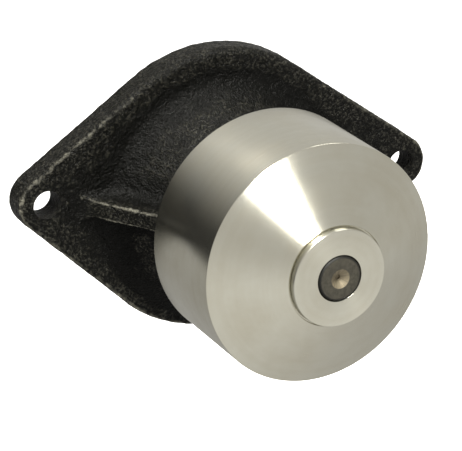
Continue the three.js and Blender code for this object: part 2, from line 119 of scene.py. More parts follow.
def finish_mesh(name, mesh, materials):
    """A smooth-shaded object in the scene from a mesh."""
    for material in materials:
        mesh.materials.append(material)
    mesh.polygons.foreach_set("use_smooth", [True] * len(mesh.polygons))
    mesh.update()
    made = bpy.data.objects.new(name, mesh)
    bpy.context.scene.collection.objects.link(made)
    return made


def place(piece, body, node, slot):
    """Hands a piece to the frame: it rides a body and stands for a CAD node; its slot is not used."""
    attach(piece, body)
    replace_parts(piece, node)


def rounded(outline):
    """Points of a closed outline of (radius, station[, edge radius]) with its corners rounded by arcs."""
    points = []
    count = len(outline)
    for i, corner in enumerate(outline):
        here = np.array(corner[:2], float)
        size = corner[2] if len(corner) > 2 else 0
        if size == 0:
            points.append(tuple(here))
            continue
        before = np.array(outline[i - 1][:2], float) - here
        after = np.array(outline[(i + 1) % count][:2], float) - here
        a, b = before / np.linalg.norm(before), after / np.linalg.norm(after)
        half = math.acos(max(-1, min(1, float(a @ b)))) / 2
        reach = size / math.tan(half)
        middle = here + (a + b) / np.linalg.norm(a + b) * size / math.sin(half)
        start, end = here + a * reach, here + b * reach
        first = math.atan2(*(start - middle)[::-1])
        turn = (math.atan2(*(end - middle)[::-1]) - first + math.pi) % (2 * math.pi) - math.pi
        steps = max(2, round(abs(turn) / math.radians(ARC_STEP)))
        for step in range(steps + 1):
            angle = first + turn * step / steps
            points.append((middle[0] + size * math.cos(angle), middle[1] + size * math.sin(angle)))
    return points


def lathe(name, outline, materials, segments=160):
    """A turned piece about the shaft axis. Points of its closed outline on the axis become one vertex."""
    points = rounded(outline)
    area = sum(a[0] * b[1] - b[0] * a[1] for a, b in zip(points, points[1:] + points[:1]))
    if area > 0:
        points.reverse()
    bm = bmesh.new()
    rings = []
    for radius, station in points:
        if radius < ON_AXIS:
            rings.append([bm.verts.new((0, -station * MM, 0))] * segments)
            continue
        ring = []
        for i in range(segments):
            angle = 2 * math.pi * i / segments
            x, z = radius * math.cos(angle), radius * math.sin(angle)
            ring.append(bm.verts.new((x * MM, -station * MM, z * MM)))
        rings.append(ring)
    for ring, following in zip(rings, rings[1:] + rings[:1]):
        for i in range(segments):
            j = (i + 1) % segments
            corners = [ring[i], following[i], following[j], ring[j]]
            corners = [v for k, v in enumerate(corners) if v is not corners[k - 1]]
            if len(set(corners)) >= 3:
                bm.faces.new(corners)
    mesh = bpy.data.meshes.new(name)
    bm.to_mesh(mesh)
    bm.free()
    return finish_mesh(name, mesh, materials)


def settle(piece, angle=SHARP_ANGLE):
    """Tidies a piece after its cuts: two materials at most, and edges over an angle are sharp."""
    index = np.zeros(len(piece.data.polygons), np.int32)
    piece.data.polygons.foreach_get("material_index", index)
    piece.data.polygons.foreach_set("material_index", np.minimum(index, 1))
    piece.data.set_sharp_from_angle(angle=math.radians(angle))
    return piece


def cut(target, cutter, operation="DIFFERENCE"):
    """Applies a boolean with another object to target, and removes the other object."""
    modifier = target.modifiers.new("cut", "BOOLEAN")
    modifier.object = cutter
    modifier.operation = operation
    modifier.solver = "MANIFOLD"
    graph = bpy.context.evaluated_depsgraph_get()
    mesh = bpy.data.meshes.new_from_object(target.evaluated_get(graph))
    target.modifiers.clear()
    old = target.data
    target.data = mesh
    bpy.data.meshes.remove(old)
    spare = cutter.data
    bpy.data.objects.remove(cutter)
    bpy.data.meshes.remove(spare)


# ------------------------------ materials

DRILL_MOUTH = 3.5  # radius of the centre drilling at the shaft's end
PAINTED_SHADE_RIM = 7.45  # radius outside which the shaft's end is black, a painted shadow in the gap round the shaft
RAY_SPACING = 0.012  # metres of noise per radian round the centre drilling

# Heights of a cast surface over what is round it, with the rounds of averaging that each one spans. The
# middle span marks edges that are lightened partly as painted highlight; the widest marks hollows kept dark
# as painted shade.
HEIGHTS = {"raised": 1, "edge": 6, "shade_height": 60}


def add_node(tree, kind, inputs=None, **settings):
    """Adds a node to a node tree. Inputs are values or sockets by input name or number."""
    made = tree.nodes.new(kind)
    for name, value in settings.items():
        setattr(made, name, value)
    for name, value in (inputs or {}).items():
        if isinstance(value, bpy.types.NodeSocket):
            tree.links.new(value, made.inputs[name])
        else:
            made.inputs[name].default_value = value
    return made


def new_material(name, **fixed):
    """A material with a Principled shader, its fixed inputs set, and object coordinates."""
    material = bpy.data.materials.new(name)
    material.use_nodes = True
    shader = material.node_tree.nodes["Principled BSDF"]
    for socket, value in fixed.items():
        shader.inputs[socket.replace("_", " ")].default_value = value
    coordinates = add_node(material.node_tree, "ShaderNodeTexCoord").outputs["Object"]
    return material, shader, coordinates


# The functions below work in the node tree of the first output that they are given.


def connect(output, shader, name):
    """Feeds an output into one of a shader's inputs."""
    output.id_data.links.new(output, shader.inputs[name])


def noise(vector, size, detail=2.0, roughness=0.5):
    """Noise whose blobs are about this many millimetres across."""
    inputs = {"Vector": vector, "Scale": 1 / (size * MM), "Detail": detail, "Roughness": roughness}
    return add_node(vector.id_data, "ShaderNodeTexNoise", inputs).outputs["Fac"]


def spread(value, low, high, start=0.0, end=1.0):
    """Maps a value from start..end to low..high."""
    inputs = {"Value": value, "From Min": start, "From Max": end, "To Min": low, "To Max": high}
    return add_node(value.id_data, "ShaderNodeMapRange", inputs).outputs["Result"]


def blend_colours(factor, first, second):
    """Mixes two colours, each of which is a value or a socket."""
    colours = [c if isinstance(c, bpy.types.NodeSocket) else (*c, 1) for c in (first, second)]
    inputs = {0: factor, 6: colours[0], 7: colours[1]}
    return add_node(factor.id_data, "ShaderNodeMix", inputs, data_type="RGBA").outputs[2]


def maths(operation, a, b=0.0):
    """A number from one or two others."""
    return add_node(a.id_data, "ShaderNodeMath", {0: a, 1: b}, operation=operation).outputs[0]


def times(a, b):
    return maths("MULTIPLY", a, b)


def plus(a, b):
    return maths("ADD", a, b)


def bump(height, depth, under=None):
    """Bump from a height between 0 and 1 and a depth in millimetres."""
    inputs = {"Height": height, "Distance": depth * MM, "Strength": 1.0}
    if under is not None:
        inputs["Normal"] = under
    return add_node(height.id_data, "ShaderNodeBump", inputs).outputs["Normal"]


def split(vector):
    """The X, Y and Z of a vector."""
    return add_node(vector.id_data, "ShaderNodeSeparateXYZ", {"Vector": vector}).outputs


def join(x, **others):
    """A vector from its X and, if given, its Y and Z."""
    return add_node(x.id_data, "ShaderNodeCombineXYZ", {"X": x, **others}).outputs["Vector"]


def along_profile(coordinates):
    """A vector that changes with radius and station and not round the axis, for turning marks."""
    x, y, z = split(coordinates)
    radius = maths("SQRT", plus(times(x, x), times(z, z)))
    return join(radius, Y=y)


def casting_look(name, dark, light, rough, depth, specular):
    """Sand-cast iron under thin paint: grain tops are worn bright, bright grains stand partly for painted
    glints, edges are lightened as wear and painted highlight, and hollows stay dark as painted shade.
    """
    material, shader, place = new_material(name, Metallic=0.0, Specular_IOR_Level=specular)
    heights = [add_node(material.node_tree, "ShaderNodeAttribute", attribute_name=name) for name in HEIGHTS]
    raised, edge, shade_height = (height.outputs["Fac"] for height in heights)
    grains = noise(place, 1.6, 3, 0.7)
    sand = noise(place, 0.8, 2, 0.6)
    patches = noise(place, 11, 3, 0.55)
    coarse_sand = spread(sand, 0, 1, 0.42, 0.62)
    tops = times(spread(raised, 0, 1, 0.03, 0.17), coarse_sand)
    thin_paint = spread(sand, 0.4, 1, 0.35, 0.55)
    # Edges lightened partly by worn paint and partly as a painted highlight.
    worn_edges_and_highlight = times(spread(edge, 0, 1.5, 0.18, 0.5), thin_paint)
    # Bright sand grains: partly grain tone, partly painted glints.
    bright_grains_and_glints = maths("MAXIMUM", tops, spread(sand, 0, 0.2, 0.5, 0.7))
    # Painted shade: large hollows get no bright grains, so they stay dark.
    grains_outside_painted_shade = times(bright_grains_and_glints, spread(shade_height, 0, 1, -0.06, 0.04))
    wear_and_painted_light = maths("MAXIMUM", grains_outside_painted_shade, worn_edges_and_highlight)
    tone = times(wear_and_painted_light, spread(patches, 0.5, 1, 0.35, 0.65))
    connect(blend_colours(tone, dark, light), shader, "Base Color")
    gloss = plus(times(wear_and_painted_light, 0.5), spread(sand, 0, 0.5, 0.4, 0.65))
    connect(spread(gloss, rough[1], rough[0]), shader, "Roughness")
    fine = bump(sand, depth * 0.5)
    connect(bump(grains, depth, fine), shader, "Normal")
    return material


def turned_look(name, colour, stain, rough, groove=0.0025, anisotropic=0.7):
    """Bare turned metal: fine rings round the shaft axis and faint stains."""
    fixed = {"Metallic": 1.0, "Anisotropic": anisotropic, "Anisotropic_Rotation": 0.25}
    material, shader, place = new_material(name, **fixed)
    profile = along_profile(place)
    rings = noise(profile, 0.35, 3, 0.6)
    bands = noise(profile, 2.4, 2, 0.5)
    clouds = noise(place, 16, 4, 0.6)
    tone = spread(plus(clouds, times(bands, 0.35)), 0, 1, 0.4, 0.95)
    connect(blend_colours(tone, colour, stain), shader, "Base Color")
    wear = plus(times(rings, 0.4), times(clouds, 0.6))
    connect(spread(wear, rough[0], rough[1], 0.3, 0.7), shader, "Roughness")
    connect(bump(rings, groove), shader, "Normal")
    tangent = add_node(material.node_tree, "ShaderNodeTangent", direction_type="RADIAL", axis="Y")
    connect(tangent.outputs["Tangent"], shader, "Tangent")
    return material


def shaft_end_look(name, metal, centre, rim, mouth, edge):
    """Dull end of a shaft, black outside one radius as a painted shadow in the gap round it, with a lighter,
    streaked centre drilling inside another.
    """
    material, shader, place = new_material(name, Metallic=0.55)
    profile = along_profile(place)
    radius = split(profile)["X"]
    rings = noise(profile, 0.5, 3, 0.6)
    spots = noise(place, 1.2, 3, 0.6)
    x, _, z = split(place)
    rays = noise(join(times(maths("ARCTAN2", z, x), RAY_SPACING)), 2.4, 4, 0.8)
    streaked = blend_colours(spread(rays, 0, 1, 0.35, 0.7), centre, metal)
    dull = blend_colours(spread(spots, 0, 0.5, 0.3, 0.7), metal, rim)
    # Painted shadow: the end goes black outside the rim radius, where the gap round the shaft is shaded.
    outer = spread(radius, 0, 1, (edge - 0.35) * MM, (edge + 0.1) * MM)
    face = blend_colours(outer, dull, rim)
    inner = spread(radius, 1, 0, (mouth - 0.15) * MM, (mouth + 0.05) * MM)
    connect(blend_colours(inner, face, streaked), shader, "Base Color")
    connect(spread(spots, 0.45, 0.75, 0.3, 0.7), shader, "Roughness")
    connect(bump(rings, 0.02), shader, "Normal")
    return material


def moulded_look(name, colour, mark, rough, grain=0.25, depth=0.01):
    """Moulded rubber or plastic, and lapped carbon or ceramic: fine grain and faint mottling."""
    material, shader, place = new_material(name, Metallic=0.0)
    mottle = noise(place, 3.5, 4, 0.6)
    texture = noise(place, grain, 2, 0.5)
    connect(blend_colours(mottle, colour, mark), shader, "Base Color")
    connect(spread(texture, rough[0], rough[1], 0.3, 0.7), shader, "Roughness")
    connect(bump(texture, depth), shader, "Normal")
    return material


CASTING = casting_look(
    "black_casting", (0.0012, 0.0012, 0.0009), (0.12, 0.115, 0.092), (0.14, 0.42), depth=0.65, specular=0.075
)
MACHINED = turned_look("machined_iron", (0.33, 0.325, 0.31), (0.24, 0.23, 0.21), (0.3, 0.42))
PULLEY_STEEL = turned_look("turned_steel", (0.62, 0.61, 0.535), (0.55, 0.525, 0.435), (0.18, 0.28))
SHAFT_STEEL = turned_look("shaft_steel", (0.2, 0.185, 0.16), (0.12, 0.11, 0.095), (0.3, 0.45), 0.002, 0.4)
SHAFT_END = shaft_end_look(
    "shaft_end", (0.045, 0.041, 0.03), (0.17, 0.14, 0.09), (0.004, 0.004, 0.003), DRILL_MOUTH, PAINTED_SHADE_RIM
)
IMPELLER_IRON = casting_look(
    "impeller_casting", (0.07, 0.068, 0.06), (0.16, 0.15, 0.13), (0.5, 0.75), depth=0.3, specular=0.5
)
BEARING_STEEL = turned_look("bearing_steel", (0.66, 0.67, 0.68), (0.6, 0.6, 0.6), (0.08, 0.14), 0.001, 0.3)
SPRING_STEEL = turned_look("spring_steel", (0.45, 0.46, 0.47), (0.35, 0.34, 0.33), (0.24, 0.36), 0.002, 0.2)
BRASS = turned_look("drawn_brass", (0.6, 0.43, 0.17), (0.48, 0.33, 0.12), (0.2, 0.34), 0.002, 0.3)
RUBBER = moulded_look("black_rubber", (0.018, 0.018, 0.018), (0.03, 0.03, 0.029), (0.55, 0.75))
NYLON = moulded_look("nylon", (0.5, 0.34, 0.14), (0.42, 0.28, 0.11), (0.4, 0.55))
CARBON = moulded_look("carbon", (0.03, 0.03, 0.034), (0.05, 0.05, 0.055), (0.25, 0.4))
CERAMIC = moulded_look("ceramic", (0.82, 0.79, 0.7), (0.76, 0.72, 0.62), (0.15, 0.28))


# ------------------------------ distance fields for the castings


def grid(low, high, step):
    """Broadcastable X, station and Z arrays that cover a box. Corners are (x, station, z)."""
    axes = [np.arange(a, b + step, step, dtype=np.float32) for a, b in zip(low, high)]
    return np.meshgrid(*axes, indexing="ij", sparse=True)


def smooth_union(a, b, size):
    """The lower of two distances, with a fillet where they meet."""
    near = np.maximum(size - np.abs(a - b), 0) / size
    return np.minimum(a, b) - near * near * size / 4


def smooth_cut(a, b, size):
    """The higher of two distances, with a rounded edge where they meet."""
    return -smooth_union(-a, -b, size)


def hull_of_circles(x, z, first, second):
    """Signed distance to what a belt round two circles encloses. Circles are (x, z, radius)."""
    dx, dz = second[0] - first[0], second[1] - first[1]
    length = dx * dx + dz * dz
    px, pz = x - first[0], z - first[1]
    across = np.abs(px * dz - pz * dx) / length
    along = (px * dx + pz * dz) / length
    step = first[2] - second[2]
    flank = math.sqrt(length - step * step)
    side = flank * along - step * across
    straight = flank * across + step * along
    square = across * across + along * along
    near_first = np.sqrt(length * square) - first[2]
    near_second = np.sqrt(length * (square + 1 - 2 * along)) - second[2]
    return np.where(side < 0, near_first, np.where(side > flank, near_second, straight - first[2]))


def outline_distance(r, s, outline):
    """Signed distance to a closed outline in the (radius, station) plane, negative inside."""
    nearest = np.float32(1e9)
    inside = np.zeros(np.broadcast(r, s).shape, bool)
    for (ar, a_s), (br, b_s) in zip(outline, outline[1:] + outline[:1]):
        er, es = br - ar, b_s - a_s
        wr, ws = r - ar, s - a_s
        share = np.clip((wr * er + ws * es) / (er * er + es * es), 0, 1)
        nearest = np.minimum(nearest, (wr - er * share) ** 2 + (ws - es * share) ** 2)
        if es:
            inside ^= ((a_s > s) != (b_s > s)) & (wr < er * ws / es)
    return np.where(inside, -1, 1) * np.sqrt(nearest)


CORNERS = [(i, j, k) for i in (0, 1) for j in (0, 1) for k in (0, 1)]


def surface_net(field, low, step):
    """Points and quads of the surface where a gridded distance is zero. Points are (x, station, z)."""
    counts = [n - 1 for n in field.shape]

    def corner(i, j, k):
        return field[i:i + counts[0], j:j + counts[1], k:k + counts[2]]

    inside = sum((corner(*c) < 0).astype(np.int8) for c in CORNERS)
    cells = np.nonzero((inside > 0) & (inside < 8))
    index = np.full(counts, -1, np.int64)
    index[cells] = np.arange(len(cells[0]))
    values = {c: corner(*c)[cells] for c in CORNERS}
    total = np.zeros((len(cells[0]), 3))
    crossings = np.zeros(len(cells[0]))
    for axis in range(3):
        for c in CORNERS:
            if c[axis]:
                continue
            d = tuple(v + (n == axis) for n, v in enumerate(c))
            a, b = values[c], values[d]
            crossed = (a < 0) != (b < 0)
            share = np.where(crossed, a / np.where(crossed, a - b, 1), 0)
            spot = np.repeat(np.array([c], float), len(a), 0)
            spot[:, axis] = share
            total += spot * crossed[:, None]
            crossings += crossed
    points = (np.stack(cells, 1) + total / crossings[:, None]) * step + np.array(low)
    quads = []
    for axis in range(3):
        u, v = [(1, 2), (2, 0), (0, 1)][axis]
        a = np.moveaxis(field, axis, 0)[:-1]
        b = np.moveaxis(field, axis, 0)[1:]
        crossed = np.moveaxis((a < 0) != (b < 0), 0, axis)
        leaving = np.moveaxis(a < 0, 0, axis)
        edges = np.stack(np.nonzero(crossed), 1)
        edges = edges[(edges[:, u] > 0) & (edges[:, v] > 0)]
        edges = edges[(edges[:, u] < counts[u]) & (edges[:, v] < counts[v])]
        ring = []
        for du, dv in ((1, 1), (0, 1), (0, 0), (1, 0)):
            cell = edges.copy()
            cell[:, u] -= du
            cell[:, v] -= dv
            ring.append(index[tuple(cell.T)])
        ring = np.stack(ring, 1)
        out = leaving[tuple(edges.T)]
        quads.append(np.where(out[:, None], ring, ring[:, ::-1]))
    return points, np.concatenate(quads)


def lattice_noise(points, cell, seed):
    """Smooth random values between -1 and 1 at points, from a lattice with cells of one size."""
    low = points.min(0) - cell
    size = np.ceil((points.max(0) - low) / cell).astype(int) + 2
    lattice = np.random.default_rng(seed).uniform(-1, 1, size)
    place = (points - low) / cell
    base = np.floor(place).astype(int)
    share = place - base
    share = share * share * (3 - 2 * share)
    value = np.zeros(len(points))
    for c in CORNERS:
        weight = np.prod(np.where(np.array(c), share, 1 - share), 1)
        value += weight * lattice[tuple((base + c).T)]
    return value


def inside_box(mesh, low, high):
    """Keeps the points of a raw casting inside its box, apart from the stock that is machined off."""
    points = np.zeros(len(mesh.vertices) * 3, np.float32)
    mesh.vertices.foreach_get("co", points)
    points = points.reshape(-1, 3)
    for axis in (0, 2):
        points[:, axis] = np.clip(points[:, axis], low[axis] * MM, high[axis] * MM)
    mesh.vertices.foreach_set("co", points.ravel())


def mark_heights(piece):
    """Stores how far each point stands out from the surface round it, in millimetres, at each span."""
    mesh = piece.data
    count = len(mesh.vertices)
    points, normals = np.zeros(count * 3), np.zeros(count * 3)
    mesh.vertices.foreach_get("co", points)
    mesh.vertices.foreach_get("normal", normals)
    points, normals = points.reshape(-1, 3), normals.reshape(-1, 3)
    ends = np.zeros(len(mesh.edges) * 2, np.int32)
    mesh.edges.foreach_get("vertices", ends)
    first, second = np.concatenate([ends.reshape(-1, 2), ends.reshape(-1, 2)[:, ::-1]]).T
    number = np.bincount(first, minlength=count)
    around, done = points, 0
    for name, rounds in HEIGHTS.items():
        for _ in range(done, rounds):
            sums = [np.bincount(first, axis[second], count) for axis in around.T]
            around = np.stack(sums, 1) / number[:, None]
        done = rounds
        height = ((points - around) * normals).sum(1) / MM
        mesh.attributes.new(name, "FLOAT", "POINT").data.foreach_set("value", height.astype(np.float32))
    return piece


def cast_mesh(name, field, low, step, grain, seed):
    """A rough cast surface from a distance field. Grain is (cell size, height) pairs in millimetres."""
    points, quads = surface_net(field, low, step)
    points = points * np.array([1, -1, 1])
    quads = quads[:, ::-1]
    mesh = bpy.data.meshes.new(name)
    mesh.from_pydata(points * MM, [], quads.tolist())
    mesh.update()
    normals = np.zeros(len(points) * 3, np.float32)
    mesh.vertices.foreach_get("normal", normals)
    lift = sum(lattice_noise(points, cell, seed + i) * height for i, (cell, height) in enumerate(grain))
    points = points + normals.reshape(-1, 3) * lift[:, None]
    mesh.vertices.foreach_set("co", (points * MM).astype(np.float32).ravel())
    mesh.update()
    return mesh


# ------------------------------ pump body

FLANGE_THICKNESS = 10.0
FLANGE_CIRCLE = (0.4, (BODY_HIGH.z + BODY_LOW.z) / 2, (BODY_HIGH.z - BODY_LOW.z) / 2)
EAR_RADIUS = 10.5
LEFT_HOLE = (BODY_LOW.x + EAR_RADIUS, 2.3)
RIGHT_HOLE = (BODY_HIGH.x - EAR_RADIUS, 2.3)
BOLT_HOLE_RADIUS = 5.25
EDGE_ROUND = 1.3
TOP_EDGE_ROUND = 3.2
TOP_EDGE = (15, 50)  # heights between which the flange's edge grows to its rounder top
STOCK = 1.0  # extra metal on the raw casting where it is machined afterwards
PAST = 9  # how far a cutter reaches past what it cuts
FACING_RADIUS = 120
MARGIN = 2  # room round the casting in its grid

NECK_RADIUS = 22.0
NECK_END = -BODY_LOW.y
DOME_STATIONS = [-9, 9, 12, 15.5, 19, 23, 27, 31, 35, 39.5, 44, 90]
DOME_RADII = [41.4, 41.4, 40.2, 37.8, 35.0, 31.8, 28.8, 26.3, 24.3, 22.8, NECK_RADIUS, NECK_RADIUS]
DOME_FOOT = (0.9, -2.4)  # how far the dome's foot stands off the axis
DOME_TOP = 39.0  # station at which the dome is back on the axis
DOME_LEAN_LIMIT = 1.2
DOME_FILLET = 6.0
NECK_CHAMFER, BORE_CHAMFER, MOUTH_CHAMFER = 0.8, 0.8, 0.7

RIB_REACH = 53.0
RIB_SLOPE = 1.38
RIB_HALF_WIDTH = 3.0
RIB_DRAFT = 0.12
RIB_STATIONS = (2, 60)  # the ribs start inside the flange and end inside the neck
RIB_FILLET = 4.0
RIB_EDGE = 0.5

REGISTER_RADIUS = 46.0
REGISTER_DEPTH = BODY_HIGH.y
CHAMBER_RADIUS = 39.0
GROOVE_RADIUS = 43.2
GROOVE = (-4.6, -1.4)
SEAL_BORE = 18.25
SEAL_SEAT = 20.0
WEEP_RADIUS = 13.0
WEEP_FROM, WEEP_TO = 30.9, 36.0
WEEP_HOLE = 3.2
WEEP_STATION = 33.5
WEEP_LENGTH = 24.0
WEEP_START = 10.0  # distance below the axis at which the weep hole starts
RELIEF_WIDTH, RELIEF_DEPTH = 1.6, 0.8
BEARING_BORE = 15.06

CAST_STEP = 0.6
CAST_GRAIN = ((1.3, 0.13), (3.0, 0.14), (7.0, 0.15))


def smooth_steps(station, stations, values):
    """Values along the axis on a smooth curve through the given ones."""
    slopes = np.gradient(np.array(values, float), np.array(stations, float))
    out = np.zeros(station.shape, np.float32)
    for i in range(len(stations) - 1):
        width = stations[i + 1] - stations[i]
        t = np.clip((station - stations[i]) / width, 0, 1)
        here = (station >= stations[i]) & (station < stations[i + 1])
        a = (1 + 2 * t) * (1 - t) ** 2 * values[i] + t * t * (3 - 2 * t) * values[i + 1]
        b = t * (1 - t) ** 2 * width * slopes[i] - t * t * (1 - t) * width * slopes[i + 1]
        out = np.where(here, a + b, out)
    return out


def raw_body_field(x, s, z):
    """Signed distance to the raw casting, before machining."""
    left = hull_of_circles(x, z, FLANGE_CIRCLE, (*LEFT_HOLE, EAR_RADIUS))
    right = hull_of_circles(x, z, FLANGE_CIRCLE, (*RIGHT_HOLE, EAR_RADIUS))
    plate = np.minimum(left, right)
    height = np.clip((z - TOP_EDGE[0]) / (TOP_EDGE[1] - TOP_EDGE[0]), 0, 1)
    edge = EDGE_ROUND + (TOP_EDGE_ROUND - EDGE_ROUND) * height * height
    a, b = plate + edge, s - FLANGE_THICKNESS + edge
    rounded_plate = np.minimum(np.maximum(a, b), 0) + np.hypot(np.maximum(a, 0), np.maximum(b, 0)) - edge
    flange = np.maximum(rounded_plate, -s - STOCK)

    lean = np.clip(1 - (s - FLANGE_THICKNESS) / (DOME_TOP - FLANGE_THICKNESS), 0, DOME_LEAN_LIMIT)
    r = np.hypot(x - DOME_FOOT[0] * lean, z - DOME_FOOT[1] * lean)
    radius = smooth_steps(s, DOME_STATIONS, DOME_RADII)
    slope = np.gradient(radius.ravel(), s.ravel()).reshape(s.shape)
    dome = (r - radius) / np.sqrt(1 + slope * slope)
    dome = np.maximum(np.maximum(dome, s - NECK_END - STOCK), -s - STOCK)
    body = smooth_union(flange, dome, DOME_FILLET)

    crest = (s - FLANGE_THICKNESS - (RIB_REACH - np.abs(x)) * RIB_SLOPE) / math.hypot(1, RIB_SLOPE)
    flank = np.abs(z) - RIB_HALF_WIDTH + RIB_DRAFT * crest
    rib = smooth_cut(crest, flank, RIB_EDGE)
    rib = np.maximum(rib, np.maximum(RIB_STATIONS[0] - s, s - RIB_STATIONS[1]))
    return smooth_union(body, rib, RIB_FILLET)


def round_bar(name, radius, start, end, materials, x=0, z=0):
    """A turned cutter for a hole, about an axis through x and z."""
    outline = [(0, start), (radius, start), (radius, end), (0, end)]
    cutter = lathe(name, outline, materials, 72)
    cutter.data.transform(Matrix.Translation((x * MM, 0, z * MM)))
    return cutter


def paint_machined(piece):
    """Marks all faces of a cutter as machined, the second material of a casting."""
    piece.data.polygons.foreach_set("material_index", [1] * len(piece.data.polygons))
    return piece


def pump_body(looks):
    """The casting with its two faces, register, bores, relief, bolt holes and weep hole machined."""
    low = (BODY_LOW.x - MARGIN, -STOCK - MARGIN, BODY_LOW.z - MARGIN)
    high = (BODY_HIGH.x + MARGIN, NECK_END + STOCK + MARGIN, BODY_HIGH.z + MARGIN)
    field = raw_body_field(*grid(low, high, CAST_STEP)).astype(np.float32)
    mesh = cast_mesh("cast_pump_body", field, low, CAST_STEP, CAST_GRAIN, seed=11)
    inside_box(mesh, BODY_LOW, BODY_HIGH)
    body = mark_heights(finish_mesh("cast_pump_body", mesh, looks))

    facing = [(0, -PAST), (FACING_RADIUS, -PAST), (FACING_RADIUS, 0), (0, 0)]
    cut(body, paint_machined(lathe("facing", facing, looks, 64)))
    end = NECK_END
    wide = NECK_RADIUS + 3
    inner = NECK_RADIUS - NECK_CHAMFER
    nose = [(inner, end), (wide, end - (wide - inner)), (wide, end + PAST), (0, end + PAST), (0, end)]
    cut(body, paint_machined(lathe("nose", nose, looks)))

    back = -REGISTER_DEPTH
    inside = CHAMBER_RADIUS - 1
    register = [
        (inside, 1), (REGISTER_RADIUS, 1), (REGISTER_RADIUS, GROOVE[1], 0.15), (GROOVE_RADIUS, GROOVE[1]),
        (GROOVE_RADIUS, GROOVE[0]), (REGISTER_RADIUS, GROOVE[0], 0.15), (REGISTER_RADIUS, back, 0.8),
        (inside, back),
    ]
    cut(body, paint_machined(lathe("register", register, looks, 200)), "UNION")

    mouth, front = CHAMBER_RADIUS + MOUTH_CHAMFER, BEARING_BORE + BORE_CHAMFER
    bores = [
        (0, back - 2), (mouth, back - 2), (mouth, back), (CHAMBER_RADIUS, back + MOUTH_CHAMFER),
        (CHAMBER_RADIUS, 3, 2), (CHAMBER_RADIUS - 1.4, 7, 3), (CHAMBER_RADIUS - 5, 10.8, 3),
        (26, 15.6, 2), (22, 16.6, 0.6), (22, SEAL_SEAT), (SEAL_BORE, SEAL_SEAT, 0.4),
        (SEAL_BORE, WEEP_FROM), (WEEP_RADIUS, WEEP_FROM), (WEEP_RADIUS, WEEP_TO), (BEARING_BORE, WEEP_TO),
        (BEARING_BORE, end - BORE_CHAMFER), (front, end), (front, end + 2), (0, end + 2),
    ]
    cut(body, paint_machined(lathe("bores", bores, looks, 200)))
    outer = REGISTER_RADIUS + RELIEF_WIDTH
    relief = [(REGISTER_RADIUS, -1), (outer, -1), (outer, RELIEF_DEPTH), (REGISTER_RADIUS, RELIEF_DEPTH)]
    cut(body, paint_machined(lathe("relief", relief, looks, 200)))
    for x, z in (LEFT_HOLE, RIGHT_HOLE):
        cut(body, round_bar("bolt_hole", BOLT_HOLE_RADIUS, -1, FLANGE_THICKNESS + 1, looks, x, z))
    weep = paint_machined(round_bar("weep_hole", WEEP_HOLE, -1, WEEP_LENGTH, looks))
    weep.data.transform(Matrix.Rotation(math.pi / 2, 4, "X"))
    weep.data.transform(Matrix.Translation((0, -WEEP_STATION * MM, -WEEP_START * MM)))
    cut(body, weep)
    return settle(body)


place(pump_body([CASTING, MACHINED]), "housing", "pump_body", "casting")

# ------------------------------ pulley and shaft

BELT_RADIUS = PULLEY_HIGH.x
RIM_BACK = -PULLEY_HIGH.y
RIM_FRONT = 85.9
HUB_FACE = -PULLEY_LOW.y
CUP_RADIUS = 38.0
WEB_THICKNESS = 6.7
HUB_STEP_RADIUS = 17.6
HUB_FACE_RADIUS = 17.3
CONE_TOP = (18.4, 97.4)
HUB_BACK = 82.6
SHAFT_RADIUS = 7.96
BALL_ORBIT = 10.4
BALL_GROOVE = 3.3
BALL_STATION = 46.0
GROOVE_STEPS = 12
DRILL_DEPTH = 2.0
PILOT_RADIUS, PILOT_DEPTH = 0.9, 2.8
END_LENGTH = 2.9  # how far the look of the shaft's ends reaches
SHAFT_CHAMFER = 0.9


def cone_station(radius):
    """Station of the cone's outer face at a radius."""
    share = (BELT_RADIUS - radius) / (BELT_RADIUS - CONE_TOP[0])
    return RIM_FRONT + share * (CONE_TOP[1] - RIM_FRONT)


def pulley():
    """Cylinder, cone, hub and web in one piece, with a fine groove at the hub's foot."""
    foot, bore = HUB_STEP_RADIUS, SHAFT_RADIUS + 0.05
    groove = CONE_TOP[1] - 0.5
    root, web = 15.2, CUP_RADIUS - 3.2
    outline = [
        (CUP_RADIUS, RIM_BACK, 0.4), (BELT_RADIUS, RIM_BACK, 0.4), (BELT_RADIUS, RIM_FRONT, 0.45),
        (*CONE_TOP, 0.3), (foot + 0.5, CONE_TOP[1] + 0.2, 0.1), (foot + 0.35, groove), (foot, groove),
        (foot - 0.1, HUB_FACE - 0.6, 0.25), (HUB_FACE_RADIUS, HUB_FACE, 0.3),
        (bore + 0.4, HUB_FACE, 0.12), (bore, HUB_FACE - 0.5), (bore, HUB_BACK), (14, HUB_BACK, 0.8),
        (root, cone_station(root) - WEB_THICKNESS, 2), (web, cone_station(web) - WEB_THICKNESS, 2),
        (CUP_RADIUS, 80.6, 2.4),
    ]
    return lathe("turned_pulley", outline, [PULLEY_STEEL], 256)


place(settle(pulley()), "rotor", "pulley", "turned_steel")


def groove_arc(surface):
    """Points of the ball groove, low station first, in a round surface inside or outside the orbit."""
    reach = BALL_GROOVE if surface > BALL_ORBIT else -BALL_GROOVE
    half = math.acos(abs(surface - BALL_ORBIT) / BALL_GROOVE)
    turns = [half * (2 * step / GROOVE_STEPS - 1) for step in range(GROOVE_STEPS + 1)]
    return [(BALL_ORBIT + reach * math.cos(t), BALL_STATION + BALL_GROOVE * math.sin(t)) for t in turns]


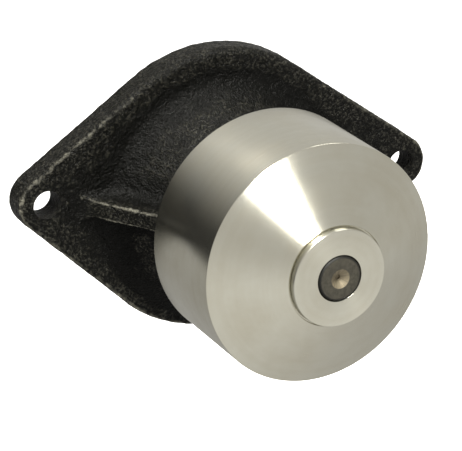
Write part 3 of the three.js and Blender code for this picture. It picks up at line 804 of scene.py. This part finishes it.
def shaft():
    """The shaft with its ball groove. Its ends, just past the drilling, have the second material."""
    back, nose = -SHAFT_HIGH.y, -SHAFT_LOW.y
    pilot, depth = PILOT_RADIUS, PILOT_DEPTH
    outline = [
        (0, back + depth), (pilot, back + depth), (pilot, back + DRILL_DEPTH), (DRILL_MOUTH, back, 0.2),
        (SHAFT_RADIUS, back, SHAFT_CHAMFER), *groove_arc(SHAFT_RADIUS), (SHAFT_RADIUS, nose, SHAFT_CHAMFER),
        (DRILL_MOUTH, nose, 0.2), (pilot, nose - DRILL_DEPTH), (pilot, nose - depth), (0, nose - depth),
    ]
    made = lathe("ground_shaft", outline, [SHAFT_STEEL, SHAFT_END], 128)
    for face in made.data.polygons:
        station = -face.center.y / MM
        if min(station - back, nose - station) < END_LENGTH:
            face.material_index = 1
    return made


place(settle(shaft()), "rotor", "shaft", "shaft_steel")

# ------------------------------ impeller

IMPELLER_RADIUS = IMPELLER_HIGH.x
IMPELLER_BACK = -IMPELLER_HIGH.y
VANES = 6
VANE_ROOT = 12.0
VANE_HALF = 1.6  # half the vane's width along its circle
VANE_SWEEP = 0.95  # angle that a vane leans back between root and rim
VANE_CURVE = 0.8
VANE_EDGE = 1.5
VANE_FILLET = 2.4
WHEEL_EDGE = 0.7  # rounding of the raw wheel's edges
WHEEL_STEP = 0.5
WHEEL_GRAIN = ((1.2, 0.08), (3.0, 0.08))
WHEEL_MARGIN = 1.5
WHEEL_FRONT = 14  # station in front of the wheel's hub
RECESS_RADIUS = 14.85
RECESS_STATION = 6.1
PRESS_GAP = 0.04


def wheel_field(x, s, z):
    """Signed distance to the raw impeller: a shrouded disc with a hub and vanes that lean back."""
    r = np.hypot(x, z)
    rim, back = IMPELLER_RADIUS - WHEEL_EDGE, IMPELLER_BACK - STOCK
    disc = [
        (0, back), (12.3, back), (13.3, 1.4), (16.9, 5.4), (rim, 2.4), (rim, 3.6), (19.3, 10.1),
        (17.3, 10.7), (0, 10.7),
    ]
    wheel = outline_distance(r, s, disc) - WHEEL_EDGE
    share = np.clip((r - VANE_ROOT) / (IMPELLER_RADIUS - VANE_ROOT), 1e-3, 1)
    lean = VANE_SWEEP * VANE_CURVE * share ** (VANE_CURVE - 1) / (IMPELLER_RADIUS - VANE_ROOT) * r
    pitch = 2 * math.pi / VANES
    off = np.arctan2(z, x) - VANE_SWEEP * share ** VANE_CURVE
    off = np.abs((off + pitch / 2) % pitch - pitch / 2)
    vane = (off * r - VANE_HALF) / np.sqrt(1 + lean * lean) + WHEEL_EDGE
    envelope = [(8, -10.3), (20, -10.3), (rim - 0.2, -7.4), (rim - 0.2, 3), (20, 6), (8, 6)]
    inner = np.maximum(vane, outline_distance(r, s, envelope))
    rounded_vane = smooth_cut(vane, inner, VANE_EDGE) - WHEEL_EDGE
    return smooth_union(wheel, rounded_vane, VANE_FILLET)


def impeller(looks):
    """The cast wheel, faced behind and bored for the shaft and the face seal."""
    reach = IMPELLER_RADIUS + WHEEL_MARGIN
    low, high = (-reach, IMPELLER_BACK - STOCK - MARGIN, -reach), (reach, WHEEL_FRONT, reach)
    field = wheel_field(*grid(low, high, WHEEL_STEP)).astype(np.float32)
    mesh = cast_mesh("cast_impeller", field, low, WHEEL_STEP, WHEEL_GRAIN, seed=31)
    inside_box(mesh, IMPELLER_LOW, IMPELLER_HIGH)
    wheel = mark_heights(finish_mesh("cast_impeller", mesh, looks))
    behind = IMPELLER_BACK - PAST
    facing = [(0, behind), (20, behind), (20, IMPELLER_BACK), (0, IMPELLER_BACK)]
    cut(wheel, paint_machined(lathe("facing", facing, looks, 64)))
    bore = SHAFT_RADIUS + PRESS_GAP
    bores = [
        (0, behind), (bore + 0.6, behind), (bore + 0.6, IMPELLER_BACK), (bore, IMPELLER_BACK + 0.6),
        (bore, RECESS_STATION), (RECESS_RADIUS, RECESS_STATION, 0.5), (RECESS_RADIUS, 20), (0, 20),
    ]
    cut(wheel, paint_machined(lathe("bores", bores, looks, 128)))
    return settle(wheel)


place(impeller([IMPELLER_IRON, MACHINED]), "rotor", "impeller", "impeller_iron")

# ------------------------------ shaft bearing

RING_BORE = 12.6
RACE_RADIUS = 13.05
RACE_HALF = 5.8
BALL_COUNT, ROLLER_COUNT = 8, 10
BALL_RADIUS = 3.175
BALL_STEPS, POCKET_STEPS = 20, 12  # from pole to pole of a ball, and of the cutter for its pocket
ROLLER_ORBIT = 10.5
ROLLER_RADIUS = 2.4
ROLLER_HALF = 5.5
ROLLER_STATION = 65.0
CAGE_INNER, CAGE_OUTER = 9.3, 11.6
CAGE_PLAY = 0.15
CAGE_SHARP_ANGLE = 30
BALL_CAGE_HALF = 4.575
ROLLER_CAGE_HALF = 8.1
POCKET_REACH = 4  # half the radial length of the cutter for a roller's pocket
LIP_RECESS = 2.6
LIP_GAP = 0.25


def rectangle(inner, outer, start, end, edge):
    """The outline of a rectangle with rounded corners."""
    return [(inner, start, edge), (outer, start, edge), (outer, end, edge), (inner, end, edge)]


def move_round(piece, orbit, share):
    """Moves a piece out to an orbit and by a share of a turn round the shaft axis, facing outwards."""
    piece.data.transform(Matrix.Translation((orbit * MM, 0, 0)))
    piece.data.transform(Matrix.Rotation(-2 * math.pi * share, 4, "Y"))
    return piece


def bearing_ring():
    back, front = -RING_HIGH.y, -RING_LOW.y
    race_from, race_to = ROLLER_STATION - RACE_HALF, ROLLER_STATION + RACE_HALF
    outline = [
        (RING_BORE, back, 0.3), (RING_HIGH.x, back, 0.6), (RING_HIGH.x, front, 0.6),
        (RING_BORE, front, 0.3), (RING_BORE, race_to), (RACE_RADIUS, race_to, 0.2),
        (RACE_RADIUS, race_from, 0.2), (RING_BORE, race_from), *reversed(groove_arc(RING_BORE)),
    ]
    return lathe("ground_bearing_ring", outline, [BEARING_STEEL])


def half_circle(radius, steps):
    """Points of a half circle about the balls' station, from one end on the axis to the other."""
    turns = [math.pi * (step / steps - 0.5) for step in range(steps + 1)]
    return [(radius * math.cos(t), BALL_STATION + radius * math.sin(t)) for t in turns]


def bearing_ball(number):
    outline = half_circle(BALL_RADIUS, BALL_STEPS)
    ball = lathe(f"polished_ball_{number}", outline, [BEARING_STEEL], 2 * BALL_STEPS)
    return move_round(ball, BALL_ORBIT, (number - 1) / BALL_COUNT)


def bearing_roller(number):
    """A roller with a shallow dish in each end."""
    start, end = ROLLER_STATION - ROLLER_HALF, ROLLER_STATION + ROLLER_HALF
    outline = [
        (0, start + 0.12), (1.5, start + 0.12, 0.2), (1.7, start, 0.1), (ROLLER_RADIUS, start, 0.4),
        (ROLLER_RADIUS, end, 0.4), (1.7, end, 0.1), (1.5, end - 0.12, 0.2), (0, end - 0.12),
    ]
    roller = lathe(f"polished_roller_{number}", outline, [BEARING_STEEL], 40)
    return move_round(roller, ROLLER_ORBIT, (number - 1) / ROLLER_COUNT)


def cage_blank(name, station, half):
    return lathe(name, rectangle(CAGE_INNER, CAGE_OUTER, station - half, station + half, 0.3), [NYLON])


def ball_cage():
    """A ring with a round pocket for each ball."""
    cage = cage_blank("moulded_ball_cage", BALL_STATION, BALL_CAGE_HALF)
    outline = half_circle(BALL_RADIUS + CAGE_PLAY, POCKET_STEPS)
    for i in range(BALL_COUNT):
        pocket = lathe("pocket", outline, [NYLON], 32)
        cut(cage, move_round(pocket, BALL_ORBIT, i / BALL_COUNT))
    return settle(cage, CAGE_SHARP_ANGLE)


def roller_cage():
    """A ring with a rectangular pocket for each roller."""
    cage = cage_blank("moulded_roller_cage", ROLLER_STATION, ROLLER_CAGE_HALF)
    half, length = ROLLER_RADIUS + CAGE_PLAY, ROLLER_HALF + CAGE_PLAY
    section = rounded(rectangle(-half, half, -length, length, 0.4))
    count = len(section)
    faces = [tuple(reversed(range(count))), tuple(range(count, 2 * count))]
    faces += [(i, (i + 1) % count, (i + 1) % count + count, i + count) for i in range(count)]
    for i in range(ROLLER_COUNT):
        points = [(x, -ROLLER_STATION - y, z) for x in (-POCKET_REACH, POCKET_REACH) for z, y in section]
        pocket = link_mesh("pocket", points, faces, [NYLON])
        cut(cage, move_round(pocket, ROLLER_ORBIT, i / ROLLER_COUNT))
    return settle(cage, CAGE_SHARP_ANGLE)


def lip_seal(name, station, outward):
    """Elastomer disc with a dust ring and a lip that leans outwards along the shaft."""
    outer, lip = RING_BORE - 0.08, SHAFT_RADIUS + LIP_GAP
    shape = [
        (outer, 0, 0.15), (outer, 1.4, 0.25), (11.8, 1.4, 0.15), (11.5, 1.1, 0.2), (10.4, 1.1, 0.2),
        (10.1, 1.4, 0.15), (9.6, 1.4, 0.3), (lip + 0.3, 2.2, 0.12), (lip, 2, 0.05), (9.2, 0, 0.3),
    ]
    return lathe(name, [(r, station + outward * s, edge) for r, s, edge in shape], [RUBBER], 128)


place(settle(bearing_ring()), "housing", "bearing_outer_ring", "bearing_steel")
place(ball_cage(), "ball_set", "ball_cage", "cage_plastic")
place(roller_cage(), "roller_set", "roller_cage", "cage_plastic")
for number in range(1, BALL_COUNT + 1):
    place(bearing_ball(number), f"ball_{number}", f"bearing_ball_{number}", "bearing_steel")
for number in range(1, ROLLER_COUNT + 1):
    place(settle(bearing_roller(number)), f"roller_{number}", f"bearing_roller_{number}", "bearing_steel")
for end, station, outward in (("front", -RING_LOW.y, 1), ("back", -RING_HIGH.y, -1)):
    seal = lip_seal(f"moulded_{end}_lip_seal", station - outward * LIP_RECESS, outward)
    place(settle(seal), "housing", f"bearing_{end}_lip_seal", "rubber")


def slinger():
    """A cupped disc on a short collar."""
    bore, collar = SHAFT_RADIUS + PRESS_GAP, SHAFT_RADIUS + PRESS_GAP + 0.9
    outline = [
        (bore, 31.8, 0.1), (collar, 31.8, 0.3), (collar, 34, 0.5), (11.9, 32.8, 0.2), (11.9, 33.6, 0.3),
        (bore, 35.2, 0.1),
    ]
    return lathe("pressed_slinger", outline, [SPRING_STEEL], 128)


place(settle(slinger()), "rotor", "slinger", "spring_steel")

# ------------------------------ face seal and ring seal

SPRING_COIL = 14.6
SPRING_WIRE = 0.8
SPRING_FROM, SPRING_TO = 20.4, 27.8
SPRING_TURNS = 3.5
SPRING_STEPS = 56  # steps in each turn
SPRING_SIDES = 14
SPRING_TIP = ((0.1, 0.5), (0.7, 0.35))  # the tip's rings: relative size, and how far past the wire's end


def seal_case():
    """A drawn cup with a collar at its mouth and a hole for the shaft in its bottom."""
    wall, collar = SEAL_BORE - 0.06, SEAL_SEAT - 0.1
    mouth = collar - 0.8
    outline = [
        (20.8, mouth, 0.3), (20.8, collar, 0.3), (wall, collar, 0.25), (wall, 30.6, 0.9),
        (10.7, 30.6, 0.3), (10.7, 29.8, 0.3), (17.4, 29.8, 0.5), (17.4, mouth, 0.5),
    ]
    return lathe("drawn_seal_case", outline, [BRASS])


def seal_bellows():
    """A rim on the case, a tube with one fold, and a socket round the carbon ring."""
    outline = [
        (9, 17.9, 0.2), (9, 22, 0.6), (9.9, 23.4, 0.5), (9, 24.8, 0.6), (9, 29.7, 0.4), (17.2, 29.7, 0.3),
        (17.2, 28.9, 0.3), (10.2, 28.9, 0.5), (10.2, 25.2, 0.6), (11.1, 23.4, 0.5), (10.2, 21.6, 0.6),
        (10.2, 18.8, 0.4), (13.4, 18.8, 0.4), (13.4, 14.5, 0.3), (12.6, 14.5, 0.3), (12.6, 17.9, 0.2),
    ]
    return lathe("moulded_bellows", outline, [RUBBER], 128)


def seal_spring_retainer():
    """A sleeve with a flange that the spring pushes on."""
    outline = [
        (13.5, 14.3, 0.15), (14.1, 14.3, 0.2), (14.1, 18.6, 0.4), (16.4, 18.6, 0.3), (16.4, 19.3, 0.3),
        (13.5, 19.3, 0.6),
    ]
    return lathe("pressed_spring_retainer", outline, [SPRING_STEEL], 128)


def seal_carbon_ring():
    """A ring with a narrow nose that runs on the mating ring."""
    outline = [
        (9, 17.8, 0.3), (12.4, 17.8, 0.3), (12.4, 13.4, 0.2), (11.7, 13.1, 0.2), (11.7, 12.2, 0.15),
        (9.8, 12.2, 0.15), (9.8, 13.1, 0.2), (9, 13.4, 0.2),
    ]
    return lathe("lapped_carbon_ring", outline, [CARBON])


def seal_mating_ring():
    outline = [(9.5, 7.5, 0.5), (13.6, 7.5, 0.5), (13.6, 12, 0.3), (9.5, 12, 0.3)]
    return lathe("lapped_mating_ring", outline, [CERAMIC])


def seal_mating_boot():
    """A cup that grips the mating ring from behind, inside and outside."""
    outline = [
        (8.3, 6.3, 0.4), (14.7, 6.3, 0.5), (14.7, 11.2, 0.35), (13.75, 11.2, 0.25), (13.75, 7.4, 0.3),
        (9.3, 7.4, 0.3), (9.3, 10.6, 0.3), (8.3, 10.6, 0.3),
    ]
    return lathe("moulded_mating_boot", outline, [RUBBER], 128)


def seal_spring():
    """Round wire along a helix, with a rounded tip at each end."""
    steps, sides = round(SPRING_TURNS * SPRING_STEPS), SPRING_SIDES
    first_tip = [(0, size, -past) for size, past in SPRING_TIP]
    wire = [(step, 1, 0) for step in range(steps + 1)]
    last_tip = [(steps, size, past) for size, past in reversed(SPRING_TIP)]
    points, faces = [], []
    for step, size, past in first_tip + wire + last_tip:
        share = step / steps
        angle = 2 * math.pi * SPRING_TURNS * share + past / SPRING_COIL
        station = SPRING_FROM + (SPRING_TO - SPRING_FROM) * share
        for side in range(sides):
            turn = 2 * math.pi * side / sides
            radius = SPRING_COIL + SPRING_WIRE * size * math.cos(turn)
            along = station + SPRING_WIRE * size * math.sin(turn)
            points.append((radius * math.cos(angle), -along, radius * math.sin(angle)))
    rings = len(points) // sides
    for ring in range(rings - 1):
        for side in range(sides):
            a, b = ring * sides + side, ring * sides + (side + 1) % sides
            faces.append((a, a + sides, b + sides, b))
    faces.append(tuple(range(sides)))
    faces.append(tuple(reversed(range((rings - 1) * sides, rings * sides))))
    return link_mesh("coiled_spring", points, faces, [SPRING_STEEL])


def register_ring_seal():
    low, high = box_mm("register_ring_seal")
    outline = rectangle(GROOVE_RADIUS + 0.1, high.x, -high.y, -low.y, 0.4)
    return lathe("moulded_ring_seal", outline, [RUBBER], 200)


for piece, body, node, slot in (
    (seal_case(), "housing", "seal_case", "brass"),
    (seal_spring_retainer(), "seal_face", "seal_spring_retainer", "spring_steel"),
    (seal_carbon_ring(), "seal_face", "seal_carbon_ring", "carbon"),
    (seal_mating_ring(), "rotor", "seal_mating_ring", "ceramic"),
    (seal_mating_boot(), "rotor", "seal_mating_boot", "rubber"),
    (register_ring_seal(), "housing", "register_ring_seal", "rubber"),
):
    place(settle(piece), body, node, slot)

# The bellows and the spring join the housing to the floating ring.
for piece, node, slot, moving_end, fixed_end in (
    (seal_bellows(), "seal_bellows", "rubber", 18.8, 28.9),
    (seal_spring(), "seal_spring", "spring_steel", SPRING_FROM, SPRING_TO),
):
    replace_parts(settle(piece), node)
    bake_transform(piece)

# ------------------------------ stage and light

FLOOR_LEVEL, FLOOR_REACH = -300, 9000
SKY_COLOUR = (1, 0.985, 0.94, 1)
AMBIENT = 0.64  # brightness of the studio at and above the horizon
LOW_FRONT = 0.92  # and below it, in front of the pump and behind it
LOW_BEHIND = 0.44
DARK_LEVEL = 0.05
DARK_SIDE = (-21, 80)  # degrees up from straight left, seen along the shaft, that the dark side covers
EDGE_BLUR = 0.05
BEHIND, IN_FRONT, BELOW = (-0.1, 0.45), (0.4, -0.8), (0.1, -0.5)  # spans of a direction's Y, Y and Z
AIM = (0, -0.06, 0)  # the point that the lights are aimed at, in metres
WARM, COOL = (1, 0.985, 0.93), (0.93, 0.92, 1)


def ramp(value, start, end):
    """Rises smoothly from 0 at start to 1 at end."""
    inputs = {"Value": value, "From Min": start, "From Max": end}
    made = add_node(value.id_data, "ShaderNodeMapRange", inputs, interpolation_type="SMOOTHSTEP")
    return made.outputs["Result"]


def panel(name, place_at, size, power, colour, aim=AIM):
    """A soft rectangular light at a point, aimed at another point, in metres."""
    data = bpy.data.lights.new(name, "AREA")
    data.shape = "RECTANGLE"
    data.size, data.size_y = size
    data.energy = power
    data.color = colour
    lamp = bpy.data.objects.new(name, data)
    lamp.location = place_at
    lamp.rotation_mode = "QUATERNION"
    lamp.rotation_quaternion = (Vector(aim) - Vector(place_at)).to_track_quat("-Z", "Y")
    bpy.context.scene.collection.objects.link(lamp)
    return lamp


def make_stage():
    """A wide pale floor that the metal doesn't mirror."""
    material, shader, place_on = new_material("pale_floor", Roughness=0.9)
    speck = noise(place_on, 40, 2)
    connect(blend_colours(speck, (0.86, 0.86, 0.86), (0.88, 0.88, 0.88)), shader, "Base Color")
    corners = [(-1, -1), (1, -1), (1, 1), (-1, 1)]
    points = [(x * FLOOR_REACH, y * FLOOR_REACH, FLOOR_LEVEL) for x, y in corners]
    floor = link_mesh("floor", points, [(0, 1, 2, 3)], [material])
    floor.visible_glossy = False


def make_world():
    """A pale studio all round, with a dark side behind the left of the pump that the metal mirrors."""
    world = bpy.data.worlds.new("studio")
    world.use_nodes = True
    x, y, z = split(add_node(world.node_tree, "ShaderNodeTexCoord").outputs["Generated"])
    above_left = maths("ARCTAN2", z, times(x, -1.0))
    lower, upper = (math.radians(angle) for angle in DARK_SIDE)
    start = ramp(above_left, lower - EDGE_BLUR, lower + EDGE_BLUR)
    end = ramp(above_left, upper, 0)
    dark = times(times(start, end), ramp(y, *BEHIND))
    floor_glow = spread(ramp(y, *IN_FRONT), LOW_BEHIND - AMBIENT, LOW_FRONT - AMBIENT)
    glow = plus(times(ramp(z, *BELOW), floor_glow), AMBIENT)
    level = times(glow, spread(dark, 1.0, DARK_LEVEL))
    sky = world.node_tree.nodes["Background"]
    sky.inputs["Color"].default_value = SKY_COLOUR
    connect(level, sky, "Strength")
    bpy.context.scene.world = world


def make_lights():
    """A key panel in front, a strong top panel, a faint rim panel and strip, and a wash for the floor."""
    panel("key", (-0.1, -1.25, 0.62), (0.3, 0.5), 13, WARM)
    panel("top", (-0.44, -0.47, 1.18), (0.3, 0.3), 66, WARM)
    panel("rim", (0.62, 0.05, 1.25), (0.5, 0.5), 3, WARM)
    panel("strip", (-0.16, 1.1, 0.76), (0.16, 0.5), 0.03, COOL)
    floor_wash = panel("floor_wash", (0.6, 0.7, 2.2), (2.5, 2.5), 60, (1, 1, 1), (0.3, 0.6, -0.3))
    floor_wash.visible_glossy = False


make_stage()
make_world()
make_lights()
bpy.context.scene.view_settings.view_transform = "Standard"
